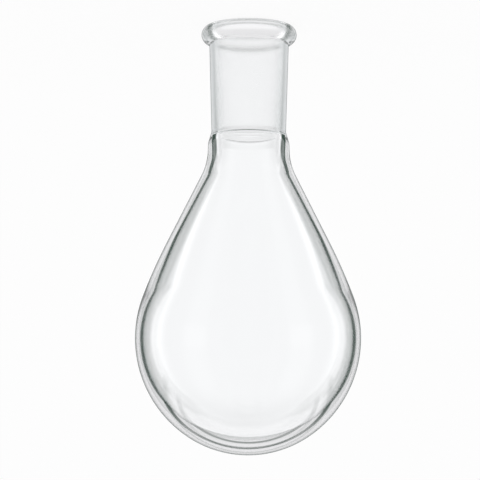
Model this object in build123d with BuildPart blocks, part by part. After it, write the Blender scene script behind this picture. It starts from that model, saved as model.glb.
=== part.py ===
from build123d import *
import os
from math import asin, cos, degrees, hypot, radians, sin, tan

# Digestion flask with a pear-shaped bulb and a ground socket, blown from one piece of glass.
# It can't stand on its round bottom, so it stands on its rim, mouth down, as it does to dry.
# Its wall is one section, drawn in (radius, level above the table) and turned about the axis.
# All lengths are in millimetres, all angles in degrees.

# Bulb, outside: a bottom arc, a side arc and a shoulder arc, each smooth to the next, and a cone
bulb_diameter = 90.0
side_offset = 2.4  # how far the side arc's centre lies past the axis
bottom_offset = 3.45  # how far the bottom arc's centre lies beyond the widest level
shoulder_start = 20.5  # latitude where the side arc gives way to the shoulder arc
shoulder_radius = 227.0
flank_angle = 26.5  # half-angle of the cone

# Bulb, inside
equator_wall = 2.8
bottom_wall = 4.9
hollow_side_offset = 3.2  # how far the side arc's centre lies short of the axis
hollow_shoulder_start = 22.0
neck_root_wall = 2.4

# Neck
neck_root_radius = 16.5
neck_end_radius = 16.2
neck_length = 8.6
neck_blend = 25.0  # where the flank runs into the neck
neck_end_blend = 1.5
neck_bore_radius = 13.8
neck_bore_blend = 8.0

# Ground socket, standard taper 29/42, and the weld that joins it to the neck
taper = 1 / 10  # change of diameter over length
ground_mouth_diameter = 29.2
ground_length = 42.0
socket_lead = 3.0  # clear glass between the ground zone and the mouth
socket_end_radius = 15.95  # outside, under the bead
weld_radius = 14.85
weld_length = 4.6
weld_blend = 1.2
lip_length = 2.0  # inner slope from the neck's bore to the ground zone
lip_set_back = 2.9  # from the ground zone to the neck's end
lip_blend = 1.2

# Bead round the mouth
rim_diameter = 38.0
bead_radius = 3.7
bead_crease = 0.8
mouth_edge = 0.5

# Levels above the table, from the mouth up
ground_mouth_level = socket_lead
ground_neck_level = ground_mouth_level + ground_length
neck_end_level = ground_neck_level + lip_set_back
weld_level = neck_end_level - weld_length
neck_root_level = neck_end_level + neck_length

# The bulb's arcs follow from their offsets
flank = radians(flank_angle)
shoulder = radians(shoulder_start)
side_radius = bulb_diameter / 2 + side_offset
bottom_radius = side_radius - hypot(side_offset, bottom_offset)
bottom_latitude = degrees(asin(bottom_offset / hypot(side_offset, bottom_offset)))
flank_end_radius = (
    side_radius * cos(shoulder) - side_offset - shoulder_radius * (cos(shoulder) - cos(flank))
)
flank_end_level = neck_root_level + (flank_end_radius - neck_root_radius) / tan(flank)
shoulder_rise = shoulder_radius * (sin(flank) - sin(shoulder))
widest_level = flank_end_level + shoulder_rise + side_radius * sin(shoulder)
flask_height = widest_level + bottom_offset + bottom_radius

# The hollow keeps its walls from the outside
hollow_radius = bulb_diameter / 2 - equator_wall
hollow_height = flask_height - bottom_wall
hollow_side_radius = hollow_radius - hollow_side_offset
neck_wall = neck_root_radius - neck_bore_radius
bore_start_level = neck_root_level - (neck_wall * cos(flank) - neck_root_wall) / sin(flank)
ground_mouth_radius = ground_mouth_diameter / 2
ground_neck_radius = ground_mouth_radius - ground_length * taper / 2
mouth_radius = ground_mouth_radius + socket_lead * taper / 2

with BuildPart() as flask:
    with BuildSketch(Plane.XZ) as wall:
        # Everything inside the outer surface, from the bottom of the bulb down to the bead
        with BuildLine() as outside:
            bottom = JernArc((0, flask_height), (1, 0), bottom_radius, bottom_latitude - 90)
            side = JernArc(bottom @ 1, bottom % 1, side_radius, -bottom_latitude - shoulder_start)
            round_shoulder = JernArc(side @ 1, side % 1, shoulder_radius, shoulder_start - flank_angle)
            neck = FilletPolyline(
                round_shoulder @ 1,
                (neck_root_radius, neck_root_level),
                (neck_end_radius, neck_end_level),
                (weld_radius, weld_level),
                (socket_end_radius, bead_radius),
                radius=(neck_blend, neck_end_blend, weld_blend),
            )
            Polyline(neck @ 1, (0, bead_radius), bottom @ 0)
        make_face()
        with Locations((rim_diameter / 2 - bead_radius, bead_radius)):
            Circle(bead_radius)
        under_bead = wall.vertices().sort_by_distance((socket_end_radius, 2 * bead_radius))[0]
        fillet(under_bead, radius=bead_crease)

        # Less the hollow, from the bottom of the bulb down through the mouth
        with BuildLine() as inside:
            dome = JernArc((0, hollow_height), (1, 0), hollow_radius, -90)
            hollow_side = JernArc(dome @ 1, dome % 1, hollow_side_radius, -hollow_shoulder_start)
            hollow_flank = TangentArc(
                hollow_side @ 1, (neck_bore_radius, bore_start_level), tangent=hollow_side % 1
            )
            bore = FilletPolyline(
                hollow_flank @ 1,
                (neck_bore_radius, ground_neck_level + lip_length),
                (ground_neck_radius, ground_neck_level),
                (ground_mouth_radius, ground_mouth_level),
                (mouth_radius, 0),
                (0, 0),
                radius=(lip_blend, 0, 0, 0),
            )
            Line(bore @ 1, dome @ 0)
        make_face(mode=Mode.SUBTRACT)
        bore_start = wall.vertices().sort_by_distance((neck_bore_radius, bore_start_level))[0]
        fillet(bore_start, radius=neck_bore_blend)
        inner_edge = wall.vertices().sort_by_distance((mouth_radius, 0))[0]
        fillet(inner_edge, radius=mouth_edge)
    revolve(axis=Axis.Z)

flask.part.label = "flask"

os.makedirs("parts", exist_ok=True)
export_step(flask.part, "parts/flask.step")

print(f"flask {flask_height:.2f} mm high, widest at {widest_level:.2f} mm")
print(f"ground zone {ground_mouth_radius * 2:.2f} to {ground_neck_radius * 2:.2f} mm across")
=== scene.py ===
"""Digestion flask in clear glass, mouth down on a pale table, in a bright studio.

The glass is one shell. Its wall is drawn as a section of tangent arcs and lines, in millimetres
in the plane of the radius and the level above the table, and spun about the flask's own axis.
"""

import logging
from dataclasses import dataclass
from math import acos, asin, atan2, ceil, cos, degrees, hypot, radians, sin, sqrt, tan, tau
from typing import Any

import bmesh
import bpy
from mathutils import Matrix, Vector


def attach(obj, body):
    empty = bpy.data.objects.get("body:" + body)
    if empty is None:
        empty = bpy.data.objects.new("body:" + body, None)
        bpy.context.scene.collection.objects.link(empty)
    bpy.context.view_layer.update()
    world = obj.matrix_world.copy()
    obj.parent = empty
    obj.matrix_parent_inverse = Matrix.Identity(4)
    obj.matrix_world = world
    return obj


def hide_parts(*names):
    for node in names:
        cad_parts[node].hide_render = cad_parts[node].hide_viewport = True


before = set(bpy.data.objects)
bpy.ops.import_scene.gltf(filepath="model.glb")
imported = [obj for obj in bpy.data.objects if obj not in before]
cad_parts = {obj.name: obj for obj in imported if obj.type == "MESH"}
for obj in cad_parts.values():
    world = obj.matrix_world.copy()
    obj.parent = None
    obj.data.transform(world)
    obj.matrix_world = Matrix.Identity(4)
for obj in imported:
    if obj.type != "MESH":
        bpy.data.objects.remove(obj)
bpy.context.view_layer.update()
MM = 0.001
WHITE = (1.0, 1.0, 1.0, 1.0)
log = logging.getLogger("flask")

Point = tuple[float, float]
Span = tuple[float, float]
Colour = tuple[float, float, float, float]


class Pen:
    """Draws the edges of a section from one vertex, with a tip and a heading.

    The heading is the clockwise angle from straight outwards, in degrees, with the axis on the
    left and the mouth below.
    """

    fewest_steps = 3
    turn_per_step = 5.0

    def __init__(self, bm: bmesh.types.BMesh, start: Point, heading: float, chord: float) -> None:
        """Puts the pen down.

        Args:
            bm: The mesh that takes the section.
            start: Radius and level of the first vertex.
            heading: Way that the pen faces.
            chord: Longest edge that it leaves.
        """
        self.bm = bm
        self.tip = bm.verts.new((start[0], 0.0, start[1]))
        self.heading = heading
        self.chord = chord

    @property
    def place(self) -> Point:
        """Radius and level of the tip."""
        return self.tip.co.x, self.tip.co.z

    def line(self, end: Point) -> None:
        """Draws a straight run to a point, and leaves the pen facing along it.

        Args:
            end: Radius and level of the run's end.
        """
        radius, level = self.place
        run = Vector((end[0] - radius, 0.0, end[1] - level))
        steps = max(1, ceil(run.length / self.chord))
        for _ in range(steps):
            new = bmesh.ops.extrude_vert_indiv(self.bm, verts=[self.tip])
            self.tip = new["verts"][0]
            bmesh.ops.translate(self.bm, vec=run / steps, verts=[self.tip])
        self.heading = degrees(atan2(-run.z, run.x))

    def arc(self, radius: float, heading: float) -> None:
        """Draws an arc that starts along the pen's heading.

        Args:
            radius: Radius of the arc.
            heading: Way that the pen faces at the arc's end, less than half a turn away.
        """
        turn = radians(heading - self.heading)
        side = radius if turn > 0 else -radius
        facing = radians(self.heading)
        at = self.place
        centre = (at[0] - side * sin(facing), 0.0, at[1] - side * cos(facing))
        steps = max(
            self.fewest_steps,
            ceil(abs(turn) / radians(self.turn_per_step)),
            ceil(abs(turn) * radius / self.chord),
        )
        spun = bmesh.ops.spin(
            self.bm, geom=[self.tip], cent=centre, axis=(0, 1, 0), angle=turn, steps=steps
        )
        self.tip = next(v for v in spun["geom_last"] if isinstance(v, bmesh.types.BMVert))
        self.heading = heading

    def corner(self, point: Point, after: Point, radius: float) -> None:
        """Draws a straight run to a corner and the arc that rounds it.

        Args:
            point: Radius and level of the corner.
            after: Point that the next run goes to.
            radius: Radius of the rounding.
        """
        at = self.place
        way_in = degrees(atan2(at[1] - point[1], point[0] - at[0]))
        way_out = degrees(atan2(point[1] - after[1], after[0] - point[0]))
        back = radius * tan(radians(abs(way_out - way_in) / 2))
        facing = radians(way_in)
        self.line((point[0] - back * cos(facing), point[1] + back * sin(facing)))
        self.arc(radius, way_out)


def touching_centre(
    start: Point, heading: float, centre: Point, reach: float, first: bool = True
) -> Point:
    """Centre of a rounding that lies on a straight line, at a set distance from an arc's centre.

    Args:
        start: A point on the line.
        heading: Way that the line goes.
        centre: Centre of the arc.
        reach: Distance from that centre.
        first: Takes the first such point along the line, and otherwise the last.

    Returns:
        The point.
    """
    facing = radians(heading)
    way = (cos(facing), -sin(facing))
    gap = (centre[0] - start[0], centre[1] - start[1])
    along = gap[0] * way[0] + gap[1] * way[1]
    aside = gap[0] * way[1] - gap[1] * way[0]
    across = sqrt(reach**2 - aside**2)
    travel = along - across if first else along + across
    return start[0] + travel * way[0], start[1] + travel * way[1]


@dataclass(frozen=True)
class Maths:
    """A number in a shader. An expression on it adds Math nodes."""

    shader: "Shader"
    socket: bpy.types.NodeSocket

    def apply(self, operation: str, *others: Any) -> "Maths":
        """Adds a Math node.

        Args:
            operation: The node's operation.
            others: Its further operands, numbers or Maths.

        Returns:
            The node's result.
        """
        operands = dict(enumerate((self, *others)))
        node = self.shader.node("ShaderNodeMath", {"operation": operation}, operands)
        return Maths(self.shader, node.outputs[0])

    def __add__(self, other: Any) -> "Maths":
        """Sum."""
        return self.apply("ADD", other)

    def __sub__(self, other: Any) -> "Maths":
        """Difference."""
        return self.apply("SUBTRACT", other)

    def __rsub__(self, other: float) -> "Maths":
        """Difference from a number."""
        node = self.shader.node("ShaderNodeMath", {"operation": "SUBTRACT"}, {0: other, 1: self})
        return Maths(self.shader, node.outputs[0])

    def __mul__(self, other: Any) -> "Maths":
        """Product."""
        return self.apply("MULTIPLY", other)

    __radd__ = __add__
    __rmul__ = __mul__

    def step(self, start: float, end: float) -> "Maths":
        """Smooth step from 0 to 1 between two values.

        Args:
            start: Value that gives 0.
            end: Value that gives 1.

        Returns:
            The step.
        """
        node = self.shader.node(
            "ShaderNodeMapRange",
            {"interpolation_type": "SMOOTHSTEP"},
            {"Value": self, "From Min": start, "From Max": end},
        )
        return Maths(self.shader, node.outputs[0])


class Shader:
    """The nodes of a material or of the world."""

    def __init__(self, tree: bpy.types.NodeTree) -> None:
        """Empties a node tree.

        Args:
            tree: The tree to fill.
        """
        self.tree = tree
        tree.nodes.clear()

    def node(
        self,
        kind: str,
        settings: dict[str, Any] | None = None,
        inputs: dict[str | int, Any] | None = None,
    ) -> bpy.types.Node:
        """Adds a node.

        Args:
            kind: The node's type.
            settings: Its properties, set before its sockets.
            inputs: Values, sockets or Maths by socket.

        Returns:
            The node.
        """
        node = self.tree.nodes.new(kind)
        for name, value in (settings or {}).items():
            setattr(node, name, value)
        for name, value in (inputs or {}).items():
            source = value.socket if isinstance(value, Maths) else value
            if isinstance(source, bpy.types.NodeSocket):
                self.tree.links.new(source, node.inputs[name])
            else:
                node.inputs[name].default_value = source
        return node

    def dot(self, way: bpy.types.NodeSocket, axis: Vector) -> Maths:
        """Dot product of a direction and a fixed axis.

        Args:
            way: The direction.
            axis: The axis.

        Returns:
            The product.
        """
        node = self.node(
            "ShaderNodeVectorMath", {"operation": "DOT_PRODUCT"}, {0: way, 1: tuple(axis)}
        )
        return Maths(self, node.outputs["Value"])

    def mix(self, share: Maths, first: bpy.types.Node, second: bpy.types.Node) -> bpy.types.Node:
        """Mixes two shaders.

        Args:
            share: Share of the second one, from 0 to 1.
            first: One shader.
            second: The other one.

        Returns:
            The mix.
        """
        return self.node(
            "ShaderNodeMixShader", None, {0: share, 1: first.outputs[0], 2: second.outputs[0]}
        )

    def place(self) -> tuple[Maths, Maths, Maths]:
        """Object coordinates of the surface, in metres."""
        coordinates = self.node("ShaderNodeTexCoord")
        split = self.node("ShaderNodeSeparateXYZ", None, {0: coordinates.outputs["Object"]})
        return tuple(Maths(self, socket) for socket in split.outputs)


@dataclass(frozen=True)
class GroundZone:
    """Where the inside of the socket is ground, in metres.

    Attributes:
        low: Level of its end at the mouth.
        high: Level of its end at the neck.
        lip: Level where the lip beyond that end meets the bore.
        bead: Level of the bead's top.
        taper: Change of diameter over length.
        foot: Radius just outside it, carried on to the table's level.
    """

    low: float
    high: float
    lip: float
    bead: float
    taper: float
    foot: float


@dataclass(frozen=True)
class BlownGlass:
    """Clear borosilicate glass, fine-ground where the socket takes a cone.

    Attributes:
        tint: Colour that light takes on at each surface.
        ior: Refractive index.
        polished: Roughness of the blown surface.
        ground: Roughness of the ground zone.
        border: Width of the ground zone's soft border, in metres.
        painted_glow: Colour of a painted glow that stands in for light scattered by ground glass.
        painted_glow_share: Its share round the ground zone, where the surface turns away.
        painted_glow_turn: Facing values between which that sets in.
        lip_painted_glow: Its share on the lip, where the surface turns away.
        lip_shade: Share of painted shade on the lip where it faces the eye.
        lip_turn: Facing values between which the lip goes from painted shade to painted glow.
        shade: Colour of the painted shade on the lip and at the outline.
        outline: Share of painted shade at the outline.
        outline_depth: Range of facing values that the outline takes.
    """

    tint: Colour = (0.985, 0.995, 0.992, 1.0)
    ior: float = 1.473
    polished: float = 0.0
    ground: float = 0.24
    border: float = 0.0004
    painted_glow: Colour = (0.74, 0.76, 0.77, 1.0)
    painted_glow_share: float = 0.75
    painted_glow_turn: Span = (0.3, 0.7)
    lip_painted_glow: float = 0.7
    lip_shade: float = 0.5
    lip_turn: Span = (0.2, 0.45)
    shade: Colour = (0.03, 0.065, 0.05, 1.0)
    outline: float = 0.9
    outline_depth: float = 0.25

    def material(self, zone: GroundZone) -> bpy.types.Material:
        """Makes the material.

        Args:
            zone: Where the glass is ground.

        Returns:
            The material.
        """
        material = bpy.data.materials.new("blown_glass")
        material.use_nodes = True
        shader = Shader(material.node_tree)
        x, y, z = shader.place()
        radius = (x * x + y * y).apply("SQRT")
        wall = radius + z * (zone.taper / 2)
        inside = 1 - wall.step(zone.foot, zone.foot + self.border)
        past_mouth = inside * z.step(zone.low - self.border, zone.low + self.border)
        short_of_lip = 1 - z.step(zone.high - self.border, zone.high)
        roughness = past_mouth * short_of_lip * (self.ground - self.polished) + self.polished
        glass = shader.node(
            "ShaderNodeBsdfPrincipled",
            None,
            {
                "Base Color": self.tint,
                "IOR": self.ior,
                "Transmission Weight": 1.0,
                "Roughness": roughness,
            },
        )
        facing = Maths(shader, shader.node("ShaderNodeLayerWeight").outputs["Facing"])

        # Painted glow: an emission mixed into the glass round the ground zone and on the lip, where
        # the surface turns away, standing in for light that ground glass scatters
        past_bead = z.step(zone.bead, zone.bead + self.border)
        painted_glow_share = past_mouth.apply("MAXIMUM", past_bead) * short_of_lip
        painted_glow_share = painted_glow_share * facing.step(*self.painted_glow_turn) * self.painted_glow_share
        lip = inside * z.step(zone.high, zone.high + self.border / 2)
        lip = lip * (1 - z.step(zone.lip - self.border / 2, zone.lip))
        turned_lip = facing.step(*self.lip_turn)
        painted_glow_share = painted_glow_share + lip * turned_lip * self.lip_painted_glow
        # Emission that paints the glow, though the glass is no lamp
        painted_glow = shader.node("ShaderNodeEmission", None, {"Color": self.painted_glow})
        glass_with_painted_glow = shader.mix(painted_glow_share, glass, painted_glow)

        # Painted shade: a dark diffuse mixed in on the lip where it faces the eye, and at every
        # outline
        outline = facing.step(1 - self.outline_depth, 1.0) * self.outline
        shade = outline.apply("MAXIMUM", lip * (1 - turned_lip) * self.lip_shade)
        # Dark diffuse that paints the shade
        dark = shader.node("ShaderNodeBsdfDiffuse", None, {"Color": self.shade})
        glass_with_painted_shade = shader.mix(shade, glass_with_painted_glow, dark)
        shader.node("ShaderNodeOutputMaterial", None, {"Surface": glass_with_painted_shade.outputs[0]})
        return material


@dataclass
class GlassFlask:
    """Flask, mouth down: sizes in millimetres, angles in degrees."""

    # Bulb, outside and inside
    bulb_diameter: float = 90.0
    side_offset: float = 2.4
    bottom_offset: float = 3.45
    shoulder_start: float = 20.5
    shoulder_radius: float = 227.0
    flank_angle: float = 26.5
    equator_wall: float = 2.8
    bottom_wall: float = 4.9
    hollow_side_offset: float = 3.2
    hollow_shoulder_start: float = 22.0

    # Neck, outside and inside
    neck_root_radius: float = 16.5
    neck_end_radius: float = 16.2
    neck_length: float = 8.6
    neck_blend: float = 25.0
    neck_end_blend: float = 1.5
    bore_root_radius: float = 15.3
    bore_root_rise: float = 4.1
    bore_root_blend: float = 30.0
    bore_length: float = 8.5
    bore_blend: float = 25.0

    # Ground socket, and the weld and lip between it and the neck
    taper: float = 0.1  # change of diameter over length
    ground_mouth_diameter: float = 29.2
    ground_length: float = 42.0
    socket_lead: float = 3.0
    socket_end_radius: float = 15.95
    weld_radius: float = 14.85
    weld_length: float = 4.6
    weld_blend: float = 1.2
    lip_depth: float = 0.65
    lip_length: float = 0.6
    lip_set_back: float = 2.9
    lip_blend: float = 0.2

    # Bead round the mouth
    rim_diameter: float = 38.0
    bead_radius: float = 3.7
    bead_crease: float = 0.8
    mouth_edge: float = 0.5

    # Mesh
    chord: float = 1.3
    spin_steps: int = 192
    crisp_angle: float = 25.0
    section_merge: float = 0.02
    spin_merge: float = 0.005
    zone_margin: float = 0.1  # from the socket's inside out to the ground zone's soft border

    def __post_init__(self) -> None:
        """Works out the levels above the table and the arcs of the bulb."""
        self.ground_neck_level = self.socket_lead + self.ground_length
        self.neck_end_level = self.ground_neck_level + self.lip_set_back
        self.weld_level = self.neck_end_level - self.weld_length
        self.neck_root_level = self.neck_end_level + self.neck_length
        self.side_radius = self.bulb_diameter / 2 + self.side_offset
        offset = hypot(self.side_offset, self.bottom_offset)
        self.bottom_radius = self.side_radius - offset
        self.bottom_latitude = degrees(asin(self.bottom_offset / offset))
        flank, shoulder = radians(self.flank_angle), radians(self.shoulder_start)
        flank_end_radius = (
            self.side_radius * cos(shoulder)
            - self.side_offset
            - self.shoulder_radius * (cos(shoulder) - cos(flank))
        )
        self.widest_level = (
            self.neck_root_level
            + (flank_end_radius - self.neck_root_radius) / tan(flank)
            + self.shoulder_radius * (sin(flank) - sin(shoulder))
            + self.side_radius * sin(shoulder)
        )
        self.height = self.widest_level + self.bottom_offset + self.bottom_radius
        self.bead_centre = (self.rim_diameter / 2 - self.bead_radius, self.bead_radius)
        self.ground_neck_radius = (self.ground_mouth_diameter - self.ground_length * self.taper) / 2
        self.mouth_radius = (self.ground_mouth_diameter + self.socket_lead * self.taper) / 2

    def draw_outside(self, bm: bmesh.types.BMesh) -> None:
        """Draws the outside from the bottom of the bulb round the bead to the mouth's edge.

        Args:
            bm: The mesh that takes the section.
        """
        pen = Pen(bm, (0.0, self.height), 0.0, self.chord)
        pen.arc(self.bottom_radius, 90 - self.bottom_latitude)
        pen.arc(self.side_radius, 90 + self.shoulder_start)
        pen.arc(self.shoulder_radius, 90 + self.flank_angle)
        root = (self.neck_root_radius, self.neck_root_level)
        end = (self.neck_end_radius, self.neck_end_level)
        weld = (self.weld_radius, self.weld_level)
        foot = (self.socket_end_radius, self.bead_radius)
        pen.corner(root, end, self.neck_blend)
        pen.corner(end, weld, self.neck_end_blend)
        pen.corner(weld, foot, self.weld_blend)

        # The crease above the bead, between the socket's side and the bead's arc
        down = pen.heading
        clear = (
            weld[0] + self.bead_crease * sin(radians(down)),
            weld[1] + self.bead_crease * cos(radians(down)),
        )
        crease = touching_centre(clear, down, self.bead_centre, self.bead_radius + self.bead_crease)
        pen.line(
            (
                crease[0] - self.bead_crease * sin(radians(down)),
                crease[1] - self.bead_crease * cos(radians(down)),
            )
        )
        out = crease[0] - self.bead_centre[0]
        pen.arc(self.bead_crease, degrees(asin(out / (self.bead_radius + self.bead_crease))))
        pen.arc(self.bead_radius, 90)
        pen.arc(self.bead_radius, self.mouth_edge_heading())

    def inner_heading(self) -> float:
        """Way that the inside of the socket goes down to the mouth."""
        return 90 - degrees(atan2(self.taper, 2))

    def mouth_edge_centre(self) -> Point:
        """Centre of the rounding between the socket's inside and the bead."""
        down = radians(self.inner_heading())
        clear = (
            self.ground_neck_radius + self.mouth_edge * sin(down),
            self.ground_neck_level + self.mouth_edge * cos(down),
        )
        reach = self.bead_radius - self.mouth_edge
        return touching_centre(clear, self.inner_heading(), self.bead_centre, reach, False)

    def mouth_edge_heading(self) -> float:
        """Way that the bead's arc goes where the mouth's edge takes over."""
        centre = self.mouth_edge_centre()
        out = (centre[0] - self.bead_centre[0]) / (self.bead_radius - self.mouth_edge)
        return 180 - degrees(asin(out))

    def draw_inside(self, bm: bmesh.types.BMesh) -> None:
        """Draws the hollow from the bottom of the bulb through the bore to the mouth's edge.

        Args:
            bm: The mesh that takes the section.
        """
        radius = self.bulb_diameter / 2 - self.equator_wall
        pen = Pen(bm, (0.0, self.height - self.bottom_wall), 0.0, self.chord)
        pen.arc(radius, 90)
        pen.arc(radius - self.hollow_side_offset, 90 + self.hollow_shoulder_start)

        # One long arc goes on to the root of the bore, and a rounding joins it to the bore's flare
        root = (self.bore_root_radius, self.neck_root_level + self.bore_root_rise)
        lip_radius = self.ground_neck_radius + self.lip_depth
        lip = (lip_radius, self.ground_neck_level + self.lip_length)
        flare = (lip_radius, self.ground_neck_level + self.bore_length)
        at = pen.place
        facing = radians(pen.heading)
        inward = (-sin(facing), -cos(facing))
        gap = (root[0] - at[0], root[1] - at[1])
        long_radius = (gap[0] ** 2 + gap[1] ** 2) / (2 * (gap[0] * inward[0] + gap[1] * inward[1]))
        centre = (at[0] + long_radius * inward[0], at[1] + long_radius * inward[1])
        down = degrees(atan2(root[1] - flare[1], flare[0] - root[0]))
        clear = (
            root[0] + self.bore_root_blend * sin(radians(down)),
            root[1] + self.bore_root_blend * cos(radians(down)),
        )
        reach = long_radius + self.bore_root_blend
        bend = touching_centre(clear, down, centre, reach, False)
        pen.arc(long_radius, 90 + degrees(acos((bend[0] - centre[0]) / reach)))
        pen.arc(self.bore_root_blend, down)
        pen.corner(flare, lip, self.bore_blend)
        neck_end = (self.ground_neck_radius, self.ground_neck_level)
        pen.corner(lip, neck_end, self.lip_blend)
        pen.line(neck_end)
        edge = self.mouth_edge_centre()
        down = radians(self.inner_heading())
        pen.line((edge[0] - self.mouth_edge * sin(down), edge[1] - self.mouth_edge * cos(down)))
        pen.arc(self.mouth_edge, self.mouth_edge_heading() - 180)

    def build(self) -> bpy.types.Object:
        """Spins the section into the glass shell.

        Returns:
            The flask, at the origin, with its place in its mesh.
        """
        bm = bmesh.new()
        self.draw_outside(bm)
        self.draw_inside(bm)
        bmesh.ops.remove_doubles(bm, verts=bm.verts, dist=self.section_merge)
        bmesh.ops.spin(
            bm,
            geom=[*bm.verts, *bm.edges],
            cent=(0, 0, 0),
            axis=(0, 0, 1),
            angle=tau,
            steps=self.spin_steps,
            use_merge=True,
        )
        bmesh.ops.remove_doubles(bm, verts=bm.verts, dist=self.spin_merge)
        bmesh.ops.recalc_face_normals(bm, faces=bm.faces)
        for face in bm.faces:
            face.smooth = True
        for edge in bm.edges:
            if edge.calc_face_angle(0.0) > radians(self.crisp_angle):
                edge.smooth = False
        bmesh.ops.scale(bm, vec=(MM, MM, MM), verts=bm.verts)
        mesh = bpy.data.meshes.new("glass_flask")
        bm.to_mesh(mesh)
        bm.free()
        piece = bpy.data.objects.new("glass_flask", mesh)
        bpy.context.collection.objects.link(piece)
        return piece

    def dress(self, piece: bpy.types.Object) -> None:
        """Gives the flask its glass.

        Args:
            piece: The flask.
        """
        zone = GroundZone(
            low=self.mouth_edge * MM,
            high=self.ground_neck_level * MM,
            lip=(self.ground_neck_level + self.lip_length) * MM,
            bead=(2 * self.bead_radius + self.bead_crease) * MM,
            taper=self.taper,
            foot=(self.mouth_radius + self.zone_margin) * MM,
        )
        piece.data.materials.append(BlownGlass().material(zone))


@dataclass(frozen=True)
class Band:
    """Range of an angle, in degrees, with a soft start and a soft end."""

    start: Span
    end: Span

    def mask(self, angle: Maths) -> Maths:
        """Marks the range.

        Args:
            angle: The angle.

        Returns:
            1 within the range and 0 outside it.
        """
        return angle.step(*self.start) * (1 - angle.step(*self.end))


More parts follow.
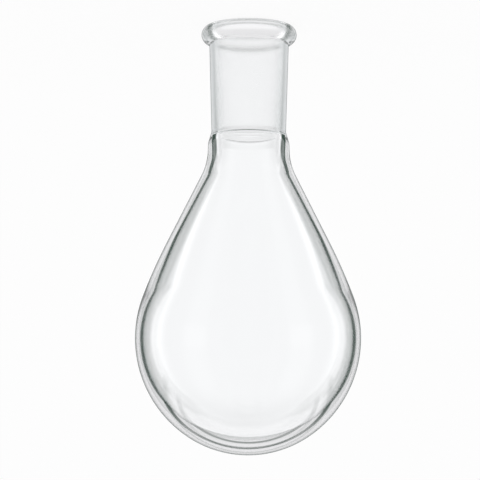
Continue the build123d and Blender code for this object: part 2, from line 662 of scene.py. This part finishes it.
@dataclass
class Studio:
    """Camera, table and light, set out from the way that the camera looks."""

    # Camera
    elevation: float = 11.0  # degrees above the table
    roll: float = 0.2047
    lens: float = 1000.0
    sensor: float = 36.0
    pixels: float = 480.0
    mm_per_pixel: float = 0.3982
    aim_right: float = 8.03  # pixels from the frame's centre to the bulb's widest level
    aim_down: float = 98.26
    view_depth: float = 100.0

    # Table
    floor_size: float = 12.0
    table: Colour = (0.9, 0.9, 0.9, 1.0)
    table_glow: float = 0.92  # share of plain white where the camera sees it

    # Light, by the angle in degrees from straight behind the flask
    daylight: Colour = (0.995, 0.985, 1.0, 1.0)
    strength: float = 0.985
    front_fall: Span = (5.0, 14.0)
    front_loss: float = 0.16
    side_start: Span = (45.0, 70.0)
    side_level: float = 2.2
    rear_start: Span = (57.0, 80.0)
    rear_level: float = 0.8

    # Windows at the camera's side, by the angles sideways and towards the mouth
    window_width: Band = Band((104.0, 110.0), (132.0, 138.0))
    window_height: Band = Band((-55.0, -48.0), (8.0, 14.0))
    window_level: float = 0.22

    # Dark flags at both sides, and dark bars behind the bottom of the bulb
    flag_green: Colour = (0.02, 0.05, 0.035, 1.0)
    flag_width: Band = Band((27.0, 31.0), (54.0, 60.0))
    flag_height: Band = Band((-38.0, -26.0), (40.0, 52.0))
    flag_share: float = 0.95
    bars: tuple[tuple[Band, float], ...] = (
        (Band((-31.0, -29.0), (-26.0, -24.0)), 0.85),
        (Band((-43.0, -41.0), (-39.0, -37.0)), 0.75),
    )
    bar_end: Span = (60.0, 75.0)

    def directions(self) -> tuple[Vector, Vector, Vector]:
        """Ways that the camera looks, across its picture and to the mouth in its picture."""
        tilt = radians(self.elevation)
        view = Vector((0.0, cos(tilt), -sin(tilt)))
        mouthwards = Vector((0.0, -sin(tilt), -cos(tilt)))
        return view, view.cross(mouthwards), mouthwards

    def place_camera(self, widest_level: float) -> None:
        """Makes the camera, with the mouth at the top of its picture.

        Args:
            widest_level: Level of the bulb's widest circle, in millimetres.
        """
        roll = radians(self.roll)
        view, across, mouthwards = self.directions()
        up = mouthwards * cos(roll) - across * sin(roll)
        right = across * cos(roll) + mouthwards * sin(roll)
        scale = self.mm_per_pixel * MM
        middle = Vector((0.0, 0.0, widest_level * MM))
        target = middle - right * (self.aim_right * scale) + up * (self.aim_down * scale)
        distance = self.pixels * scale * self.lens / self.sensor
        camera = bpy.data.cameras.new("camera")
        camera.lens = self.lens
        camera.sensor_width = self.sensor
        camera.clip_end = self.view_depth
        holder = bpy.data.objects.new("camera", camera)
        turn = Matrix((right, up, -view)).transposed().to_4x4()
        holder.matrix_world = Matrix.Translation(target - view * distance) @ turn
        bpy.context.collection.objects.link(holder)
        bpy.context.scene.camera = holder

    def lay_floor(self) -> bpy.types.Object:
        """Lays the pale table top under the flask.

        Returns:
            The table top.
        """
        bm = bmesh.new()
        bmesh.ops.create_grid(bm, x_segments=1, y_segments=1, size=self.floor_size / 2)
        mesh = bpy.data.meshes.new("table_top")
        bm.to_mesh(mesh)
        bm.free()
        floor = bpy.data.objects.new("table_top", mesh)
        bpy.context.collection.objects.link(floor)
        material = bpy.data.materials.new("white_table")
        material.use_nodes = True
        shader = Shader(material.node_tree)
        rays = shader.node("ShaderNodeLightPath")
        matt = shader.node("ShaderNodeBsdfDiffuse", None, {"Color": self.table})
        white = shader.node("ShaderNodeEmission", None, {"Color": WHITE})
        clear = shader.node("ShaderNodeBsdfTransparent")
        seen = Maths(shader, rays.outputs["Is Camera Ray"]) * self.table_glow
        in_glass = Maths(shader, rays.outputs["Is Transmission Ray"])
        in_gloss = Maths(shader, rays.outputs["Is Glossy Ray"])
        through = shader.mix(in_glass + in_gloss, shader.mix(seen, matt, white), clear)
        shader.node("ShaderNodeOutputMaterial", None, {"Surface": through.outputs[0]})
        mesh.materials.append(material)
        return floor

    def light(self) -> None:
        """Lights the studio from all round, by the angle from straight behind the flask."""
        world = bpy.data.worlds.new("studio")
        world.use_nodes = True
        bpy.context.scene.world = world
        shader = Shader(world.node_tree)
        way = shader.node("ShaderNodeTexCoord").outputs["Generated"]
        view, across, mouthwards = self.directions()
        ahead = shader.dot(way, view)
        aside = shader.dot(way, across).apply("ABSOLUTE")
        above = shader.dot(way, mouthwards)
        to_degrees = 1 / radians(1)
        off = ahead.apply("ARCCOSINE") * to_degrees
        swing = aside.apply("ARCTAN2", ahead) * to_degrees
        rise = above.apply("ARCSINE") * to_degrees
        front = 1 - off.step(*self.front_fall) * self.front_loss
        sides = off.step(*self.side_start)
        rear = off.step(*self.rear_start)
        windows = self.window_width.mask(swing) * self.window_height.mask(rise)
        level = front * (1 - sides) + sides * (1 - rear) * self.side_level
        level = level + rear * self.rear_level + windows * self.window_level
        around = shader.node(
            "ShaderNodeBackground",
            None,
            {"Color": self.daylight, "Strength": level * self.strength},
        )
        flags = self.flag_width.mask(swing) * self.flag_height.mask(rise)
        bars = sum(bar.mask(rise) * share for bar, share in self.bars)
        bars = bars * (1 - off.step(*self.bar_end))
        shade = flags * self.flag_share + (1 - flags) * bars
        flag = shader.node("ShaderNodeBackground", None, {"Color": self.flag_green})
        white = shader.node("ShaderNodeBackground", None, {"Color": WHITE})
        rays = shader.node("ShaderNodeLightPath")
        seen = Maths(shader, rays.outputs["Is Camera Ray"])
        mixed = shader.mix(seen, shader.mix(shade, around, flag), white)
        shader.node("ShaderNodeOutputWorld", None, {"Surface": mixed.outputs[0]})


def main() -> None:
    """Builds the flask and its studio."""
    logging.basicConfig(level=logging.INFO, format="%(name)s: %(message)s")
    flask = GlassFlask()
    studio = Studio()
    studio.place_camera(flask.widest_level)
    piece = flask.build()
    flask.dress(piece)
    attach(piece, "root")
    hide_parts("flask")
    log.info("glass flask: %d faces, %.2f mm high", len(piece.data.polygons), flask.height)
    floor = studio.lay_floor()
    studio.light()
    bpy.context.scene.view_settings.view_transform = "Standard"
    bpy.context.view_layer.update()


if __name__ == "__main__":
    main()
